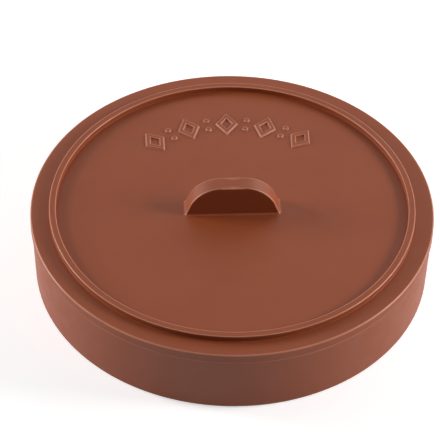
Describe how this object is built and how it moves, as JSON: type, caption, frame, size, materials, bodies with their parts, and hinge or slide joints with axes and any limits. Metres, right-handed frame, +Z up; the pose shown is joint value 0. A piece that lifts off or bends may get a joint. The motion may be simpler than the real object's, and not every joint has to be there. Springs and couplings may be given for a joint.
{
  "type": "tortilla warmer",
  "caption": "Low round plastic food warmer: a shallow dish and a lift-off lid with a flat ledge, a raised ring, a row of raised lozenges and a D-shaped tab handle.",
  "frame": {"origin": "on the axis of the dish, on the surface that the foot ring stands on", "axes": "+Z up through the lid's handle, +X along the width of the handle, +Y towards the side where the raised ornament is"},
  "size_m": [0.195, 0.195, 0.0532],
  "materials": {
    "moulded_plastic": "satin moulded polypropylene, terracotta brown"
  },
  "bodies": {
    "dish": {"base_dish": "moulded_plastic"},
    "lid": {"lid": "moulded_plastic"}
  },
  "joints": [
    {"name": "lid_lift", "type": "slide", "parent": "dish", "child": "lid", "axis": [0, 0, 1], "range_m": [0, 0.08]}
  ]
}
